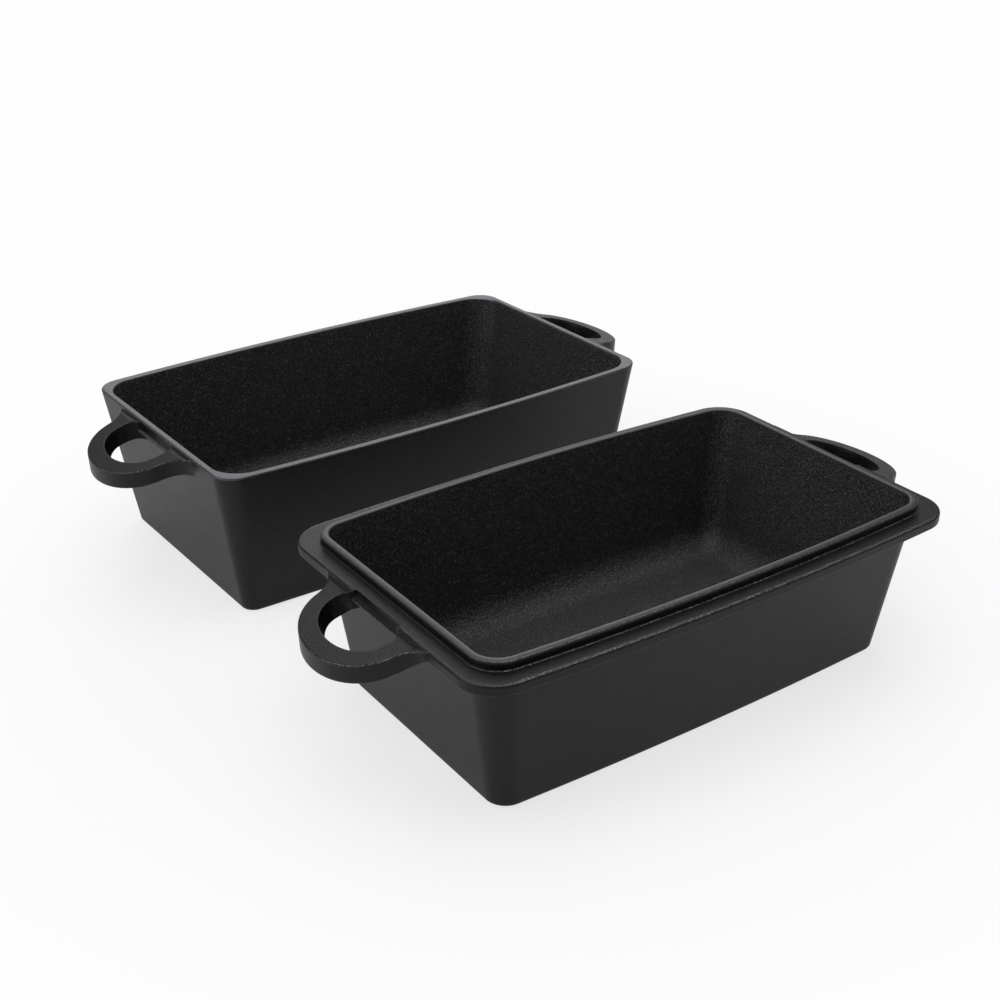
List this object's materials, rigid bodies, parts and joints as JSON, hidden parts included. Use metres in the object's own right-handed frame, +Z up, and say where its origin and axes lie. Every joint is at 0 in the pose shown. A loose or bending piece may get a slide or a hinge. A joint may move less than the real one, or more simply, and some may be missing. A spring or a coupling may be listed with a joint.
{
  "type": "loaf pan set",
  "caption": "Deep rectangular cast-iron loaf pan with a flange and raised lip, and a matching cover pan that closes over it; each has a loop handle at either end.",
  "frame": {"origin": "centre of the base pan's underside, on the surface that both pans stand on", "axes": "+X along the pans' long sides towards the right handles, +Y from the base pan to the cover pan, +Z up"},
  "size_m": [0.3534, 0.3872, 0.0846],
  "materials": {
    "base_iron": "matte black cast surface, fine pebble grain",
    "cover_iron": "matte black cast surface, fine pebble grain"
  },
  "bodies": {
    "base_pan": {"base_pan": "base_iron"},
    "cover_pan": {"cover_pan": "cover_iron"}
  },
  "joints": [
    {"name": "cover_lift", "type": "slide", "parent": "base_pan", "child": "cover_pan", "axis": [0, 0, 1], "range_m": [0, 0.12]}
  ]
}
